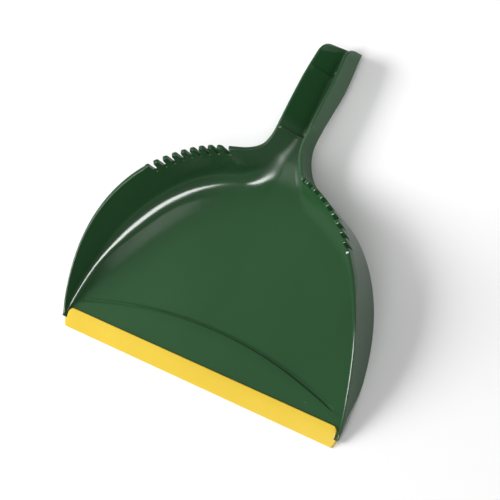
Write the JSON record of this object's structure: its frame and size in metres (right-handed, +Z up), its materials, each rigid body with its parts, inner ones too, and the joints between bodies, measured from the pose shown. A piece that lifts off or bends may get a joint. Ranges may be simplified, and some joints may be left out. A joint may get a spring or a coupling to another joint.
{
  "type": "dust pan",
  "caption": "Wide-mouth hand dust pan with curved side walls, bristle-cleaning comb notches on its shoulders, an open channel handle and a soft rubber lip.",
  "frame": {"origin": "on the surface the pan rests on, under the middle of the lip near its front edge", "axes": "+X to the right, +Y from the lip back to the handle, +Z up"},
  "size_m": [0.3118, 0.311, 0.0537],
  "materials": {
    "green_plastic": "moulded, semi-gloss",
    "yellow_rubber": "smooth satin"
  },
  "bodies": {
    "root": {"pan": "green_plastic", "lip": "yellow_rubber"}
  },
  "joints": []
}
